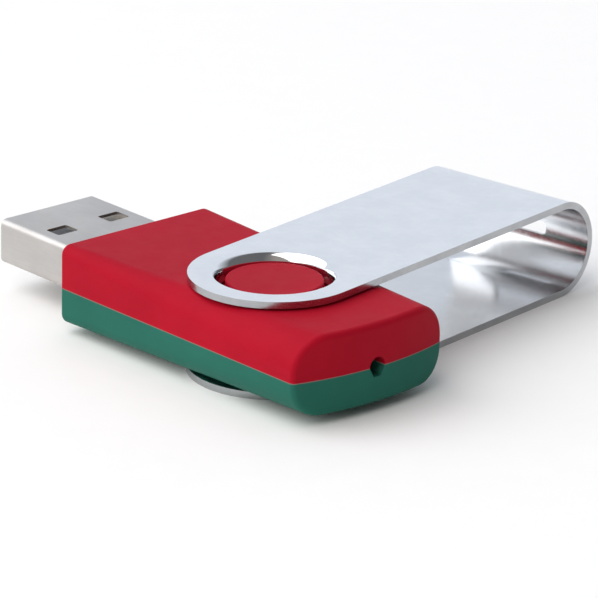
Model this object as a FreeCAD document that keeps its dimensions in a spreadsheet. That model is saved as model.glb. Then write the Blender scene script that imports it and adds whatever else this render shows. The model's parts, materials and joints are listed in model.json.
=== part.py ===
"""Swivel-cover USB flash drive: two-tone body, USB-A plug and a bent steel cover on a round boss.

Frame, in millimetres: the origin is on the swivel axis, at the underside of the cover on which the
drive rests. +X runs along the body towards the plug's tip and +Z is up.
"""
import FreeCAD
import Part
import math
import os

import Sketcher
from FreeCAD import Placement, Rotation, Vector

# Every size that can be set by itself, with what it measures.
SIZES = {
    "body_width": (18.7, "body across its long sides"),
    "body_height": (8.0, "both shells together"),
    "front_reach": (20.65, "swivel axis to the front face"),
    "rear_reach": (13.3, "swivel axis to the rear corners"),
    "rear_bow": (1.4, "how far the rear face bows out between its corners"),
    "lower_shell_height": (3.65, "parting line above the body's underside"),
    "upper_edge_radius": (3.8, "rounding of the upper long edges at the rear"),
    "lower_edge_radius": (3.3, "rounding of the lower long edges at the rear"),
    "nose_edge_radius": (1.0, "rounding of the long edges at the front, into which the rear's runs"),
    "rear_edge_radius": (0.6, "rounding round the rear face"),
    "front_edge_radius": (0.4, "rounding round the front face"),
    "wall": (1.2, "thickness of the shells"),
    "boss_radius": (4.7, "round boss inside the cover's hole"),
    "boss_rise": (0.25, "boss above the face of the shell"),
    "groove_depth": (1.3, "ring groove that the cover's collar turns in"),
    "groove_backing": (1.0, "plastic behind the ring groove"),
    "soft_edge": (0.15, "rounding of small moulded and sheared edges"),
    "notch_width": (1.9, "lamp window in the rear face, at the parting line"),
    "notch_floor_width": (0.9, "foot of the lamp window in the lower shell"),
    "notch_depth": (0.95, "lamp window below the parting line"),
    "notch_rise": (1.0, "lamp window above the parting line"),
    "cover_width": (16.6, "steel strip of the cover"),
    "cover_thickness": (0.7, "sheet of the cover"),
    "cover_gap": (0.2, "air between the body and each arm of the cover"),
    "cover_reach": (39.5, "swivel axis to the outside of the bend"),
    "cover_swing": (-80.7, "angle of the cover from +X, in degrees"),
    "collar_radius": (5.45, "inside of the collar round the cover's hole"),
    "collar_wall": (0.6, "thickness of the drawn collar"),
    "collar_lip": (0.8, "radius of the dished lip of the hole"),
    "collar_depth": (1.9, "collar, from the outside of the sheet"),
    "collar_clearance": (0.35, "collar to the outer wall of the ring groove"),
    "slot_width": (6.2, "lanyard slot across the bend"),
    "slot_height": (1.7, "lanyard slot up the bend"),
    "slot_corner": (0.5, "corner radius of the lanyard slot"),
    "plug_width": (12.0, "USB-A plug, outside"),
    "plug_height": (4.5, "USB-A plug, outside"),
    "plug_length": (18.75, "USB-A sleeve from its tip to its root"),
    "plug_tip": (34.0, "swivel axis to the plug's tip"),
    "plug_sheet": (0.3, "sheet of the sleeve"),
    "plug_corner": (0.6, "outer corner radius of the sleeve"),
    "window_length": (2.0, "latch window along the plug"),
    "window_width": (2.5, "latch window across the plug"),
    "window_corner": (0.25, "corner radius of a latch window"),
    "window_setback": (5.16, "plug's tip to a latch window"),
    "window_offset": (3.25, "plug's middle to the middle of a latch window"),
    "sleeve_seam": (0.12, "width of the folded sleeve's joint"),
    "tongue_setback": (0.6, "plug's tip to the tongue's tip"),
    "tongue_thickness": (1.9, "insulating tongue"),
    "insulator_block": (3.6, "length of the solid block at the tongue's root"),
    "fit_gap": (0.05, "clearance of each fitted pair"),
    "contact_thickness": (0.25, "blade contacts"),
    "contact_bedding": (0.1, "how deep the blades lie in the tongue"),
    "contact_tail": (1.6, "blade soldered down on the board"),
    "board_thickness": (0.8, "circuit board"),
    "board_side_gap": (1.1, "board's long edges to the side walls"),
    "board_clearance": (0.4, "board's rear edge to the posts behind it"),
    "tab_length": (1.7, "solder tabs at the sleeve's root"),
    "tab_height": (2.2, "solder tabs at the sleeve's root"),
    "rail_width": (1.6, "rails that carry and hold the board"),
    "rail_front": (12.5, "swivel axis to the front end of the rails"),
    "peg_radius": (0.5, "pegs of the upper shell"),
    "peg_length": (1.6, "pegs below the parting line"),
    "socket_wall": (0.35, "plastic round each peg's socket"),
    "flash_length": (13.0, "flash memory"),
    "flash_width": (11.5, "flash memory"),
    "flash_thickness": (1.0, "flash memory"),
    "flash_middle": (1.0, "swivel axis to the middle of the flash memory"),
    "controller_side": (6.6, "controller, square"),
    "controller_setback": (0.4, "board's front edge to the controller"),
    "controller_thickness": (0.85, "controller"),
    "crystal_setback": (5.75, "board's front edge to the middle of the clock crystal"),
    "crystal_side": (3.6, "plug's middle line to the middle of the clock crystal"),
    "lamp_setback": (0.9, "board's rear edge to the middle of the lamp"),
}

REACH_OVER = 5.0  # how far a cutting shape runs past what it cuts
REAR_SLACK = 0.02  # how far the box of a rear edge may reach past the rear corners

doc = FreeCAD.newDocument("usb_flash_drive")
sheet = doc.addObject("Spreadsheet::Sheet", "Sizes")
for row, (alias, (size, meaning)) in enumerate(SIZES.items(), start=1):
    sheet.set(f"A{row}", alias)
    sheet.set(f"B{row}", str(size))
    sheet.set(f"C{row}", meaning)
    sheet.setAlias(f"B{row}", alias)
doc.recompute()


class Size:
    """A size worked out from the sheet: its formula, and what the formula comes to now."""

    def __init__(self, text, value):
        self.text = text
        self.value = value

    def __add__(self, other):
        return Size(f"({self.text} + {as_size(other).text})", self.value + as_size(other).value)

    def __sub__(self, other):
        return Size(f"({self.text} - {as_size(other).text})", self.value - as_size(other).value)

    def __mul__(self, other):
        return Size(f"({self.text} * {as_size(other).text})", self.value * as_size(other).value)

    def __truediv__(self, other):
        return Size(f"({self.text} / {as_size(other).text})", self.value / as_size(other).value)

    def __neg__(self):
        return Size(f"(0 - {self.text})", -self.value)


def as_size(number):
    """A Size as it is, or a plain number as a Size."""
    return number if isinstance(number, Size) else Size(str(number), number)


class Sheet:
    """Every alias of the sheet as a Size."""

    def __init__(self):
        for alias, (size, _) in SIZES.items():
            setattr(self, alias, Size(f"Sizes.{alias}", size))


s = Sheet()

# Heights and places that follow from the sheet.
body_low = s.cover_thickness + s.cover_gap
body_high = body_low + s.body_height
seam = body_low + s.lower_shell_height
cover_height = body_high + s.cover_gap + s.cover_thickness
half_width = s.body_width / 2
cavity_half_width = half_width - s.wall
cavity_low = body_low + s.wall
cavity_high = body_high - s.wall
cavity_rear = s.wall - s.rear_reach
cavity_front = s.front_reach - s.wall
groove_radius = s.collar_radius + s.collar_wall + s.collar_clearance
backing_radius = groove_radius + s.groove_backing
plug_middle = body_low + s.body_height / 2
plug_root = s.plug_tip - s.plug_length
tongue_low = plug_middle - s.plug_height / 2 + s.plug_sheet
tongue_high = tongue_low + s.tongue_thickness
contact_low = tongue_high - s.contact_bedding
contact_high = contact_low + s.contact_thickness
board_high = contact_low
board_low = board_high - s.board_thickness
board_front = plug_root - s.fit_gap * 2
controller_middle = board_front - s.controller_setback - s.controller_side / 2
socket_radius = s.peg_radius + s.fit_gap + s.socket_wall
rear_peg = cavity_rear + socket_radius + s.fit_gap
board_rear = rear_peg + socket_radius + s.board_clearance


def bind(thing, name, size):
    """Ties one property of an object to the sheet."""
    thing.setExpression(name, as_size(size).text)


# --- Sketches and features ------------------------------------------------------------------------

def new_body(label):
    body = doc.addObject("PartDesign::Body", label)
    body.Label = label
    return body


def new_sketch(body, name, plane, offset=0.0):
    """A sketch on one of the body's origin planes, moved along the plane's normal by offset."""
    sketch = body.newObject("Sketcher::SketchObject", name)
    support = next(f for f in body.Origin.OriginFeatures if f.Role == plane)
    sketch.AttachmentSupport = [(support, "")]
    sketch.MapMode = "FlatFace"
    sketch.AttachmentOffset = Placement(Vector(0, 0, as_size(offset).value), Rotation())
    bind(sketch, "AttachmentOffset.Base.z", offset)
    return sketch


def fix_point(sketch, edge, end, x, y):
    """Holds one end of an edge at x, y by two dimensions tied to the sheet."""
    for axis, size in (("DistanceX", x), ("DistanceY", y)):
        number = sketch.addConstraint(
            Sketcher.Constraint(axis, -1, 1, edge, end, as_size(size).value))
        bind(sketch, f"Constraints[{number}]", size)


def arc_between(start, finish, radius, turn):
    """The shorter arc from start to finish, and which of its ends is its start."""
    chord = finish - start
    rise = math.sqrt(max(radius * radius - chord.Length ** 2 / 4, 0.0))
    side = Vector(-chord.y, chord.x, 0).normalize() * rise * turn
    centre = (start + finish) / 2 + side
    first, last = (start, finish) if turn > 0 else (finish, start)
    angles = [math.atan2(p.y - centre.y, p.x - centre.x) for p in (first, last)]
    if angles[1] < angles[0]:
        angles[1] += 2 * math.pi
    circle = Part.Circle(centre, Vector(0, 0, 1), radius)
    ends = (1, 2) if turn > 0 else (2, 1)
    return Part.ArcOfCircle(circle, *angles), ends


def outline(sketch, corners):
    """A closed outline through corners: (x, y), or (x, y, radius, turn) where an arc starts.

    turn is 1 for an arc that runs counter-clockwise and -1 for one that runs clockwise.
    """
    edges = []
    for corner, following in zip(corners, corners[1:] + corners[:1]):
        start = Vector(as_size(corner[0]).value, as_size(corner[1]).value, 0)
        finish = Vector(as_size(following[0]).value, as_size(following[1]).value, 0)
        if len(corner) == 4:
            shape, ends = arc_between(start, finish, as_size(corner[2]).value, corner[3])
        else:
            shape, ends = Part.LineSegment(start, finish), (1, 2)
        edges.append((sketch.addGeometry(shape, False), ends))
    for (edge, ends), (following, next_ends) in zip(edges, edges[1:] + edges[:1]):
        sketch.addConstraint(
            Sketcher.Constraint("Coincident", edge, ends[1], following, next_ends[0]))
    for (edge, ends), corner in zip(edges, corners):
        fix_point(sketch, edge, ends[0], corner[0], corner[1])
        if len(corner) == 4:
            number = sketch.addConstraint(
                Sketcher.Constraint("Radius", edge, as_size(corner[2]).value))
            bind(sketch, f"Constraints[{number}]", corner[2])


def rectangle(sketch, low_x, high_x, low_y, high_y):
    outline(sketch, [(low_x, low_y), (high_x, low_y), (high_x, high_y), (low_x, high_y)])


def rounded_rectangle(sketch, low_x, high_x, low_y, high_y, radius):
    outline(sketch, [
        (low_x + radius, low_y), (high_x - radius, low_y, radius, 1),
        (high_x, low_y + radius), (high_x, high_y - radius, radius, 1),
        (high_x - radius, high_y), (low_x + radius, high_y, radius, 1),
        (low_x, high_y - radius), (low_x, low_y + radius, radius, 1),
    ])


def circle(sketch, x, y, radius):
    centre = Vector(as_size(x).value, as_size(y).value, 0)
    edge = sketch.addGeometry(
        Part.Circle(centre, Vector(0, 0, 1), as_size(radius).value), False)
    fix_point(sketch, edge, 3, x, y)
    number = sketch.addConstraint(Sketcher.Constraint("Radius", edge, as_size(radius).value))
    bind(sketch, f"Constraints[{number}]", radius)


def pad(body, sketch, length, down=False, symmetric=False):
    feature = body.newObject("PartDesign::Pad", sketch.Name + "_pad")
    feature.Profile = sketch
    feature.Reversed = down
    feature.SideType = "Symmetric" if symmetric else "One side"
    bind(feature, "Length", length)
    doc.recompute()
    return feature


def pocket(body, sketch, length, down=False, symmetric=False):
    """Cuts along the sketch's normal, or against it where down is set."""
    feature = body.newObject("PartDesign::Pocket", sketch.Name + "_pocket")
    feature.Profile = sketch
    feature.Reversed = not down
    feature.SideType = "Symmetric" if symmetric else "One side"
    before = body.Shape.Volume
    bind(feature, "Length", length)
    doc.recompute()
    if body.Shape.Volume > before - 1e-4:
        raise RuntimeError(f"{feature.Name} cuts nothing")
    return feature


def turned(body, sketch, kind):
    """A full turn of the sketch about its own upright axis: kind is Revolution or Groove."""
    feature = body.newObject(f"PartDesign::{kind}", f"{sketch.Name}_{kind.lower()}")
    feature.Profile = sketch
    feature.ReferenceAxis = (sketch, ["V_Axis"])
    feature.Angle = 360
    doc.recompute()
    return feature


def fillet(body, name, radius, wanted):
    """Rounds every edge for which wanted(edge) is true."""
    base = body.Tip
    names = [f"Edge{n}" for n, edge in enumerate(base.Shape.Edges, start=1) if wanted(edge)]
    if not names:
        raise RuntimeError(f"{name} finds no edge")
    feature = body.newObject("PartDesign::Fillet", name)
    feature.Base = (base, names)
    bind(feature, "Radius", radius)
    doc.recompute()
    return feature


def near(a, b):
    return abs(a - as_size(b).value) < 1e-4


def level_at(edge, height):
    box = edge.BoundBox
    return near(box.ZMin, height) and near(box.ZMax, height)


# --- Shells -----------------------------------------------------------------------------------------

def rear_radius(up):
    """Rounding of one shell's long edges where they meet the rear face."""
    return s.upper_edge_radius if up else s.lower_edge_radius


def shell_section(body, name, place, up, radius):
    """Half of the body's section across X, on one side of the parting line."""
    section = new_sketch(body, name, "YZ_Plane", place)
    if up:
        outline(section, [
            (-half_width, seam), (half_width, seam), (half_width, body_high - radius, radius, 1),
            (half_width - radius, body_high), (radius - half_width, body_high, radius, 1),
            (-half_width, body_high - radius),
        ])
    else:
        outline(section, [
            (half_width, seam), (-half_width, seam), (-half_width, body_low + radius, radius, 1),
            (radius - half_width, body_low), (half_width - radius, body_low, radius, 1),
            (half_width, body_low + radius),
        ])
    return section


def bowed_rear(body):
    """Cuts the rear end to a shallow arc in plan."""
    bow_radius = (half_width * half_width + s.rear_bow * s.rear_bow) / (s.rear_bow * 2)
    beyond = s.rear_reach + s.rear_bow + REACH_OVER
    side = half_width + REACH_OVER
    plan = new_sketch(body, "rear_bow", "XY_Plane", body_low - REACH_OVER)
    outline(plan, [
        (-s.rear_reach, half_width, bow_radius, 1), (-s.rear_reach, -half_width),
        (-s.rear_reach, -side), (-beyond, -side), (-beyond, side), (-s.rear_reach, side),
    ])
    pocket(body, plan, s.body_height + REACH_OVER * 2)


def shell_form(body, up):
    """The outside of one shell, from the parting line up or down to its rounded outer face."""
    rear = -s.rear_reach - s.rear_bow
    loft = body.newObject("PartDesign::AdditiveLoft", "form")
    loft.Profile = shell_section(body, "front_section", s.front_reach, up, s.nose_edge_radius)
    loft.Sections = [shell_section(body, "rear_section", rear, up, rear_radius(up))]
    loft.Ruled = True
    doc.recompute()
    bowed_rear(body)

    def off_the_seam(edge):
        return not level_at(edge, seam)

    fillet(body, "front_edges", s.front_edge_radius,
           lambda edge: off_the_seam(edge) and near(edge.BoundBox.XMin, s.front_reach))
    fillet(body, "rear_edges", s.rear_edge_radius,
           lambda edge: off_the_seam(edge) and edge.BoundBox.XMax < REAR_SLACK - s.rear_reach.value)


def shell_cavity(body, up):
    """Hollows the shell, with the inner long edges rounded so that the wall stays even."""
    plan = new_sketch(body, "cavity", "XY_Plane", seam)
    rectangle(plan, cavity_rear, cavity_front, -cavity_half_width, cavity_half_width)
    depth = cavity_high - seam if up else seam - cavity_low
    pocket(body, plan, depth, down=not up)
    inner_face = cavity_high if up else cavity_low

    def inner_long_edge(edge):
        return level_at(edge, inner_face) and near(abs(edge.BoundBox.YMin), cavity_half_width) \
            and near(edge.BoundBox.YLength, 0)

    fillet(body, "cavity_edges", rear_radius(up) - s.wall, inner_long_edge)


def shell_ring_groove(body, up):
    """The round boss and the ring groove about it, with plastic behind it inside the shell."""
    backing = new_sketch(body, "backing", "XY_Plane", cavity_high if up else cavity_low)
    circle(backing, 0, 0, backing_radius)
    pad(body, backing, s.groove_depth + s.groove_backing - s.wall, down=up)
    section = new_sketch(body, "ring_groove", "XZ_Plane")
    if up:
        low, high = body_high - s.groove_depth, body_high + REACH_OVER
    else:
        low, high = body_low - REACH_OVER, body_low + s.groove_depth
    rectangle(section, s.boss_radius, groove_radius, low, high)
    turned(body, section, "Groove")
    outer_face = body_high if up else body_low
    boss_face = outer_face + s.boss_rise if up else outer_face - s.boss_rise
    boss = new_sketch(body, "boss", "XY_Plane", outer_face)
    circle(boss, 0, 0, s.boss_radius)
    pad(body, boss, s.boss_rise, down=not up)

    def groove_edge(edge):
        at_a_face = level_at(edge, outer_face) or level_at(edge, boss_face)
        return at_a_face and isinstance(edge.Curve, Part.Circle) and near(edge.Curve.Center.x, 0)

    fillet(body, "groove_edges", s.soft_edge, groove_edge)


def shell_rails(body, up):
    """Two rails along the sides: the lower pair carries the board and the upper pair holds it down."""
    if up:
        low, high = board_high + s.fit_gap, cavity_high
    else:
        low, high = cavity_low, board_low
    for name, side in (("left", 1), ("right", -1)):
        rail = new_sketch(body, f"rail_{name}", "XY_Plane", low)
        inner, outer = cavity_half_width - s.rail_width, cavity_half_width
        low_y, high_y = (inner, outer) if side > 0 else (-outer, -inner)
        rectangle(rail, board_rear, s.rail_front, low_y, high_y)
        pad(body, rail, high - low)


def peg_places():
    """Two places beside the plug and two in the rear corners."""
    front_x = cavity_front - socket_radius - s.fit_gap
    front_y = (s.plug_width / 2 + cavity_half_width) / 2
    rear_y = cavity_half_width - socket_radius - s.rail_width
    return [(front_x, front_y), (front_x, -front_y), (rear_peg, rear_y), (rear_peg, -rear_y)]


def posts(body, name, low, high, radius):
    plan = new_sketch(body, name, "XY_Plane", low)
    for x, y in peg_places():
        circle(plan, x, y, radius)
    pad(body, plan, high - low)


def plug_opening(body, up):
    """The part of the plug's opening that this shell holds, through the front wall."""
    section = new_sketch(body, "plug_opening", "YZ_Plane", cavity_front - REACH_OVER / 10)
    half = s.plug_width / 2 + s.fit_gap
    edge = s.plug_height / 2 + s.fit_gap
    low, high = (seam, plug_middle + edge) if up else (plug_middle - edge, seam)
    rectangle(section, -half, half, low, high)
    pocket(body, section, s.wall + REACH_OVER)


def lamp_window(body, up):
    """The window at the parting line of the rear face: arched above and narrowing below."""
    section = new_sketch(body, "lamp_window", "YZ_Plane", cavity_rear + REACH_OVER / 10)
    half = s.notch_width / 2
    if up:
        straight = seam + s.notch_rise - half
        outline(section, [
            (-half, seam), (half, seam), (half, straight, half, 1),
            (0, seam + s.notch_rise, half, 1), (-half, straight),
        ])
    else:
        foot = s.notch_floor_width / 2
        outline(section, [
            (-foot, seam - s.notch_depth), (foot, seam - s.notch_depth),
            (half, seam), (-half, seam),
        ])
    pocket(body, section, s.wall + s.rear_bow + REACH_OVER, down=True)


def make_shell(label, up):
    body = new_body(label)
    shell_form(body, up)
    shell_cavity(body, up)
    shell_ring_groove(body, up)
    shell_rails(body, up)
    if up:
        posts(body, "pegs", seam - s.peg_length, cavity_high, s.peg_radius)
    else:
        posts(body, "sockets", cavity_low, seam, socket_radius)
        holes = new_sketch(body, "socket_holes", "XY_Plane", seam)
        for x, y in peg_places():
            circle(holes, x, y, s.peg_radius + s.fit_gap)
        pocket(body, holes, s.peg_length + s.fit_gap, down=True)
    plug_opening(body, up)
    lamp_window(body, up)
    return body


# --- Swivel cover -----------------------------------------------------------------------------------

def cover_strip(body):
    """One strip bent into a U, with full-round ends about the swivel axis."""
    outer = cover_height / 2
    inner = outer - s.cover_thickness
    bend = s.cover_reach - outer
    end = s.cover_width / 2
    profile = new_sketch(body, "profile", "XZ_Plane")
    outline(profile, [
        (-end, 0), (bend, 0, outer, 1),
        (s.cover_reach, outer, outer, 1), (bend, cover_height),
        (-end, cover_height), (-end, cover_height - s.cover_thickness),
        (bend, cover_height - s.cover_thickness, inner, -1),
        (s.cover_reach - s.cover_thickness, outer, inner, -1),
        (bend, s.cover_thickness), (-end, s.cover_thickness),
    ])
    pad(body, profile, s.cover_width, symmetric=True)
    trim = new_sketch(body, "round_ends", "XY_Plane", -REACH_OVER)
    outline(trim, [
        (0, end), (0, end + REACH_OVER), (-end - REACH_OVER, end + REACH_OVER),
        (-end - REACH_OVER, -end - REACH_OVER), (0, -end - REACH_OVER),
        (0, -end, end, -1), (-end, 0, end, -1),
    ])
    pocket(body, trim, cover_height + REACH_OVER * 2)


def sheared_edges(body):
    """Takes the sharpness off the strip's outline, outside and inside."""
    def rim(edge):
        box = edge.BoundBox
        across = near(box.ZLength, s.cover_thickness) or near(box.YLength, s.cover_width)
        return not across

    fillet(body, "sheared_edges", s.soft_edge, rim)


def lanyard_slot(body):
    slot = new_sketch(body, "lanyard_slot", "YZ_Plane", s.cover_reach - cover_height / 2)
    middle = cover_height / 2
    rounded_rectangle(slot, -s.slot_width / 2, s.slot_width / 2,
                      middle - s.slot_height / 2, middle + s.slot_height / 2, s.slot_corner)
    pocket(body, slot, cover_height)


def collars(body):
    """The hole of each arm, with a dished lip that runs into a collar towards the body."""
    opening = s.collar_radius + s.collar_lip
    hole = new_sketch(body, "hole", "XY_Plane", -REACH_OVER)
    circle(hole, 0, 0, opening)
    pocket(body, hole, cover_height + REACH_OVER * 2)
    outside = s.collar_radius + s.collar_wall
    for name, face, way in (("lower", as_size(0), 1), ("upper", cover_height, -1)):
        tip = face + s.collar_depth * way
        lip = face + s.collar_lip * way
        inner_face = face + s.cover_thickness * way
        section = new_sketch(body, f"collar_{name}", "XZ_Plane")
        outline(section, [
            (s.collar_radius, tip), (s.collar_radius, lip, s.collar_lip, way),
            (opening, face), (opening, inner_face), (outside, inner_face), (outside, tip),
        ])
        turned(body, section, "Revolution")


def make_cover():
    body = new_body("swivel_cover")
    cover_strip(body)
    sheared_edges(body)
    lanyard_slot(body)
    collars(body)
    body.Placement = Placement(Vector(0, 0, 0), Rotation(Vector(0, 0, 1), s.cover_swing.value))
    return body


# --- USB plug ---------------------------------------------------------------------------------------

def make_plug_shell():
    """The folded sleeve: two latch windows above and two below, a joint below and two solder tabs."""
    body = new_body("plug_shell")
    half, edge = s.plug_width / 2, s.plug_height / 2
    outside = new_sketch(body, "outside", "YZ_Plane", plug_root)
    rounded_rectangle(outside, -half, half, plug_middle - edge, plug_middle + edge, s.plug_corner)
    pad(body, outside, s.plug_length)
    inside = new_sketch(body, "inside", "YZ_Plane", plug_root - REACH_OVER)
    rounded_rectangle(inside, -half + s.plug_sheet, half - s.plug_sheet,
                      plug_middle - edge + s.plug_sheet, plug_middle + edge - s.plug_sheet,
                      s.plug_corner - s.plug_sheet)
    pocket(body, inside, s.plug_length + REACH_OVER * 2)
    windows = new_sketch(body, "latch_windows", "XY_Plane", plug_middle)
    for side in (1, -1):
        middle = s.window_offset * side
        rounded_rectangle(
            windows, s.plug_tip - s.window_setback - s.window_length,
            s.plug_tip - s.window_setback,
            middle - s.window_width / 2, middle + s.window_width / 2, s.window_corner)
    pocket(body, windows, s.plug_height + REACH_OVER, symmetric=True)
    joint = new_sketch(body, "sleeve_joint", "XY_Plane", plug_middle - edge - REACH_OVER)
    rectangle(joint, plug_root, s.plug_tip + REACH_OVER, -s.sleeve_seam / 2, s.sleeve_seam / 2)
    pocket(body, joint, s.plug_sheet / 2 + REACH_OVER)
    for name, side in (("left", 1), ("right", -1)):
        tab = new_sketch(body, f"tab_{name}", "XZ_Plane", -(half - s.plug_sheet / 2) * side)
        low = plug_middle - s.tab_height
        rectangle(tab, plug_root - s.tab_length, plug_root + s.fit_gap, low, low + s.tab_height)
        pad(body, tab, s.plug_sheet, symmetric=True)
    return body


# Across the plug: the outer pair makes contact first, so it reaches further towards the tip.
CONTACTS = {
    "power_contact": (3.5, 1.2, 1.2),
    "data_minus_contact": (1.0, 1.0, 2.2),
    "data_plus_contact": (-1.0, 1.0, 2.2),
    "ground_contact": (-3.5, 1.2, 1.2),
}


def contact_corners(middle, width, setback):
    """The two opposite corners of one blade."""
    return (
        (board_front - s.contact_tail, as_size(middle - width / 2), contact_low),
        (s.plug_tip - s.tongue_setback - setback, as_size(middle + width / 2), contact_high),
    )


def make_insulator():
    """The tongue and the block at its root, with a channel for each blade."""
    body = new_body("plug_insulator")
    half = s.plug_width / 2 - s.plug_sheet - s.fit_gap
    low = tongue_low + s.fit_gap
    tongue = new_sketch(body, "tongue", "YZ_Plane", plug_root)
    rectangle(tongue, -half, half, low, tongue_high)
    pad(body, tongue, s.plug_length - s.tongue_setback)
    block = new_sketch(body, "block", "YZ_Plane", plug_root)
    roof = plug_middle + s.plug_height / 2 - s.plug_sheet - s.fit_gap
    rectangle(block, -half, half, tongue_high, roof)
    pad(body, block, s.insulator_block)

    def outer_long_edge(edge):
        box = edge.BoundBox
        outside = near(box.ZMin, low) or near(box.ZMin, roof)
        return outside and near(abs(box.YMin), half) and near(box.YLength, 0) \
            and near(box.ZLength, 0)

    fillet(body, "block_edges", s.plug_corner - s.plug_sheet, outer_long_edge)
    for name, (middle, width, setback) in CONTACTS.items():
        low_corner, high_corner = contact_corners(middle, width, setback)
        channel = new_sketch(body, f"{name}_channel", "XY_Plane", contact_low)
        rectangle(channel, plug_root - REACH_OVER, high_corner[0], low_corner[1], high_corner[1])
        pocket(body, channel, s.contact_thickness)
    return body


# --- Plain blocks: contacts, board and what it carries ------------------------------------------------

def block(label, low, high):
    """A box between two corners given as (x, y, z)."""
    box = doc.addObject("Part::Box", label)
    box.Label = label
    for side, axis, start, finish in zip(("Length", "Width", "Height"), "xyz", low, high):
        bind(box, side, as_size(finish) - start)
        bind(box, f"Placement.Base.{axis}", start)
    return box


def joined(kind, label, base, tool):
    """A Part::Cut or Part::Fuse of two shapes, under the name of the piece."""
    whole = doc.addObject(f"Part::{kind}", label)
    whole.Label = label
    whole.Base = base
    whole.Tool = tool
    return whole


def make_contacts():
    return [
        block(name, *contact_corners(middle, width, setback))
        for name, (middle, width, setback) in CONTACTS.items()
    ]


def make_board():
    """The circuit board, with a slot in its front edge for each solder tab of the sleeve."""
    half = cavity_half_width - s.board_side_gap
    plate = block("board_plate", (board_rear, -half, board_low), (board_front, half, board_high))
    slot_half = s.plug_sheet / 2 + s.fit_gap * 2
    slots = []
    for name, side in (("left", 1), ("right", -1)):
        middle = (s.plug_width / 2 - s.plug_sheet / 2) * side
        slots.append(block(
            f"tab_slot_{name}",
            (plug_root - s.tab_length - s.fit_gap, middle - slot_half, board_low - REACH_OVER),
            (board_front + REACH_OVER, middle + slot_half, board_high + REACH_OVER)))
    both = joined("Fuse", "tab_slots", *slots)
    return joined("Cut", "circuit_board", plate, both)


def on_board(middle_x, middle_y, length, width, thickness, under=False):
    """The corners of a piece that lies on the board, or hangs under it."""
    low = board_low - thickness if under else board_high
    middle_x, middle_y = as_size(middle_x), as_size(middle_y)
    length, width = as_size(length), as_size(width)
    return (
        (middle_x - length / 2, middle_y - width / 2, low),
        (middle_x + length / 2, middle_y + width / 2, low + thickness),
    )


def make_chip(label, middle_x, length, width, thickness, under=False):
    """A moulded chip with the round mark that shows its first pin."""
    low, high = on_board(middle_x, 0, length, width, thickness, under)
    slab = block(f"{label}_slab", low, high)
    mark = doc.addObject("Part::Cylinder", f"{label}_mark")
    mark_radius, mark_inset, mark_depth = 0.4, 1.0, 0.1
    mark.Radius = mark_radius
    mark.Height = mark_depth * 2
    bind(mark, "Placement.Base.x", low[0] + mark_inset)
    bind(mark, "Placement.Base.y", low[1] + mark_inset)
    bind(mark, "Placement.Base.z", (low[2] if under else high[2]) - mark_depth)
    return joined("Cut", label, slab, mark)


def make_crystal(middle_x, middle_y):
    """The clock crystal: a metal can on a slightly wider ceramic base."""
    base_length, base_width, base_thickness = 3.2, 2.5, 0.3
    can_inset, can_height = 0.15, 0.5
    low, high = on_board(middle_x, middle_y, base_length, base_width, as_size(base_thickness))
    base = block("crystal_base", low, high)
    can = block("crystal_can", (low[0] + can_inset, low[1] + can_inset, high[2]),
                (high[0] - can_inset, high[1] - can_inset, high[2] + can_height))
    return joined("Fuse", "clock_crystal", base, can)


def make_lamp():
    """The indicator lamp behind the window in the rear face, with its round lens on top."""
    base_length, base_width, base_thickness = 1.0, 1.6, 0.45
    lens_radius, lens_height = 0.42, 0.3
    low, high = on_board(board_rear + s.lamp_setback, 0, base_length, base_width,
                         as_size(base_thickness))
    base = block("lamp_base", low, high)
    lens = doc.addObject("Part::Cylinder", "lamp_lens")
    lens.Radius = lens_radius
    lens.Height = lens_height
    bind(lens, "Placement.Base.x", (low[0] + high[0]) / 2)
    bind(lens, "Placement.Base.z", high[2])
    return joined("Fuse", "indicator_lamp", base, lens)


# Small parts near each end of the board: middle to that end, middle y, length, width, thickness.
FRONT_PARTS = {
    "voltage_regulator": (5.9, 3.6, 1.6, 2.9, 1.1),
    "input_capacitor": (3.1, 4.6, 0.8, 1.6, 0.8),
    "core_capacitor": (3.1, 2.2, 0.8, 1.6, 0.8),
    "memory_capacitor": (7.1, 0.4, 0.8, 1.6, 0.8),
    "pull_up_resistor": (3.3, -0.6, 1.0, 0.5, 0.35),
}
REAR_PARTS = {
    "lamp_resistor": (2.2, 3.4, 0.5, 1.0, 0.35),
    "memory_resistor": (2.2, -3.4, 0.5, 1.0, 0.35),
}


def make_small_parts():
    placed = [(name, board_front - away, *rest) for name, (away, *rest) in FRONT_PARTS.items()]
    placed += [(name, board_rear + away, *rest) for name, (away, *rest) in REAR_PARTS.items()]
    return [
        block(name, *on_board(x, y, length, width, as_size(thickness)))
        for name, x, y, length, width, thickness in placed
    ]


def make_data_resistors():
    """The pair of resistors in the two data lines, side by side."""
    to_board_front, length, width, thickness = 3.3, 1.0, 0.5, 0.35
    pair = []
    for name, middle_y in (("plus", -1.9), ("minus", -3.1)):
        low, high = on_board(board_front - to_board_front, middle_y, length, width,
                             as_size(thickness))
        pair.append(block(f"data_resistor_{name}", low, high))
    group = doc.addObject("Part::Compound", "data_resistors")
    group.Label = "data_resistors"
    group.Links = pair
    return group


# --- Build, check and write -----------------------------------------------------------------------------

def check(pieces):
    """Stops on any failed object or bad shape, before anything is written."""
    doc.recompute()
    failed = [o.Label for o in doc.Objects if "Invalid" in o.State or "Error" in o.State]
    if failed:
        raise RuntimeError(f"failed objects: {failed}")
    for piece in pieces:
        if piece.Shape.isNull() or not piece.Shape.isValid() or not piece.Shape.Solids:
            raise RuntimeError(f"{piece.Label} has no valid solid")


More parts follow.
